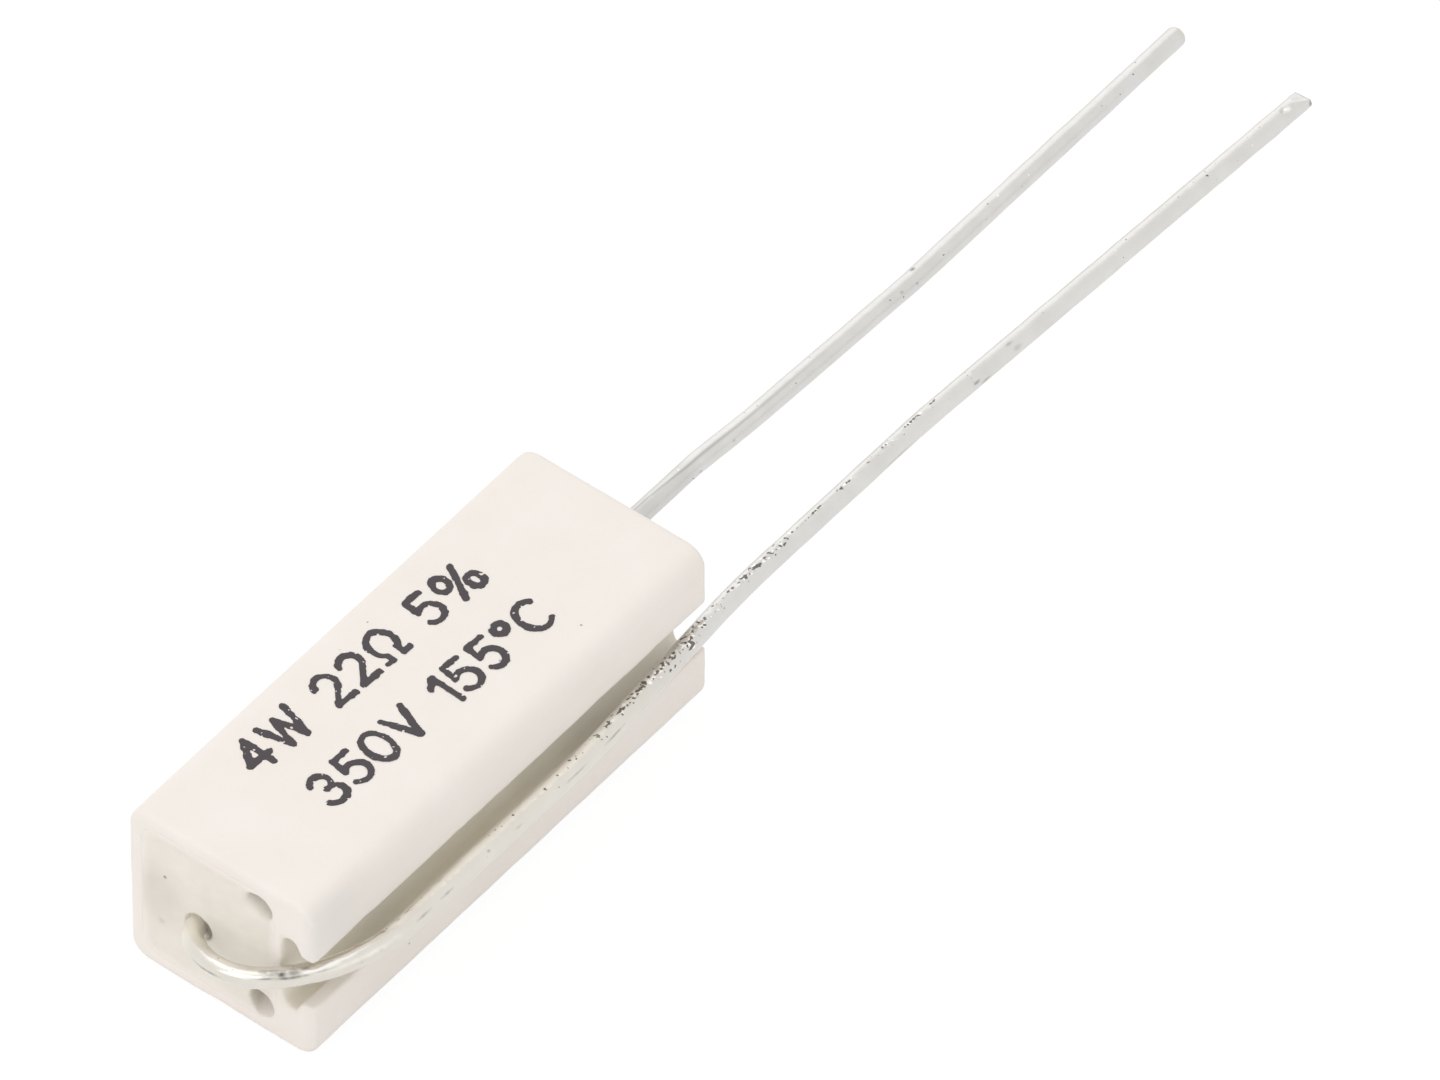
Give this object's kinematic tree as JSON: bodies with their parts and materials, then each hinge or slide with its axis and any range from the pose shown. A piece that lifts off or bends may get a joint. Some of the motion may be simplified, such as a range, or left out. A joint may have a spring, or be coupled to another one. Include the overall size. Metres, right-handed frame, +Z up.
{
  "type": "power resistor",
  "caption": "Wirewound power resistor in a grooved ceramic case filled with cement, with a lead bent back along the groove so that the leads leave the same end.",
  "frame": {"origin": "centre of the case's resting face", "axes": "+X along the case towards the end that both leads point to, -Y towards the grooved side, +Z up out of the marked face"},
  "size_m": [0.057, 0.01, 0.0077],
  "materials": {
    "case_ceramic": "matt unglazed off-white ceramic",
    "cement": "matt grey-white silicone cement",
    "core_ceramic": "matt white ceramic",
    "resistance_wire": "drawn resistance alloy wire",
    "cap_metal": "plated pressed steel",
    "tinned_lead": "dull hot-dipped tin with pits and dark specks",
    "marking_ink": "matt stamped dark grey ink"
  },
  "bodies": {
    "root": {"ceramic_case": "case_ceramic", "cement_fill": "cement", "core_rod": "core_ceramic", "resistance_winding": "resistance_wire", "near_end_cap": "cap_metal", "far_end_cap": "cap_metal", "straight_lead": "tinned_lead", "return_lead": "tinned_lead"}
  },
  "joints": []
}
